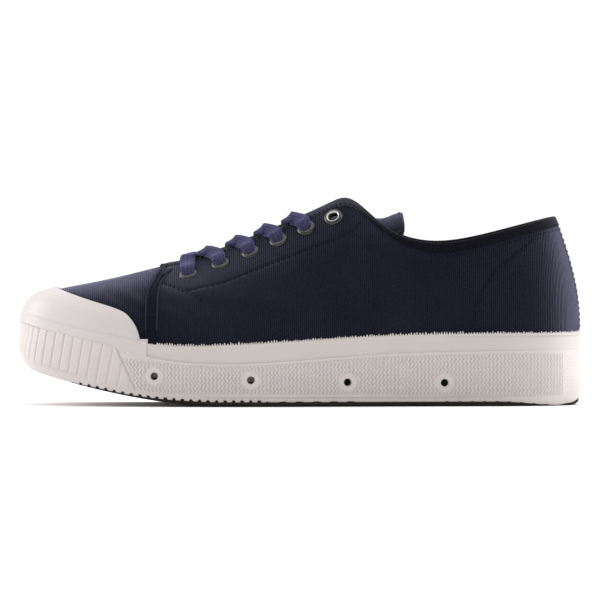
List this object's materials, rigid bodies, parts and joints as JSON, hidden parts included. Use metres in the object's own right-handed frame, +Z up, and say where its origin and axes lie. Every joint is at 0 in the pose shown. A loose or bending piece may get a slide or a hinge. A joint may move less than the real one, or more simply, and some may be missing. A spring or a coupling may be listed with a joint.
{
  "type": "canvas sneaker",
  "caption": "Low canvas lace-up shoe for the left foot: hollow cloth upper on a thick white rubber cup sole with a ribbed toe, a rubber toe cap, metal eyelets and a flat lace.",
  "frame": {"origin": "on the ground, under the middle of the sole's box", "axes": "+X from the toe towards the heel, +Y towards the inner side of the foot, +Z up"},
  "size_m": [0.29, 0.1024, 0.1056],
  "materials": {
    "rubber_white": "matt, faintly satin",
    "canvas_navy": "ribbed cotton canvas",
    "insole_cloth": "unbleached cotton over foam",
    "lace_cotton": "flat woven cotton",
    "eyelet_metal": "gunmetal, half bright"
  },
  "bodies": {
    "root": {"outsole": "rubber_white", "foxing": "rubber_white", "toe_cap": "rubber_white", "upper": "canvas_navy", "tongue": "canvas_navy", "insole": "insole_cloth", "eyelet_outer_1": "eyelet_metal", "eyelet_inner_1": "eyelet_metal", "eyelet_outer_2": "eyelet_metal", "eyelet_inner_2": "eyelet_metal", "eyelet_outer_3": "eyelet_metal", "eyelet_inner_3": "eyelet_metal", "eyelet_outer_4": "eyelet_metal", "eyelet_inner_4": "eyelet_metal", "eyelet_outer_5": "eyelet_metal", "eyelet_inner_5": "eyelet_metal", "eyelet_outer_6": "eyelet_metal", "eyelet_inner_6": "eyelet_metal", "lace_bar_1": "lace_cotton", "lace_cross_2": "lace_cotton", "lace_cross_3": "lace_cotton", "lace_cross_4": "lace_cotton", "lace_cross_5": "lace_cotton"}
  },
  "joints": []
}
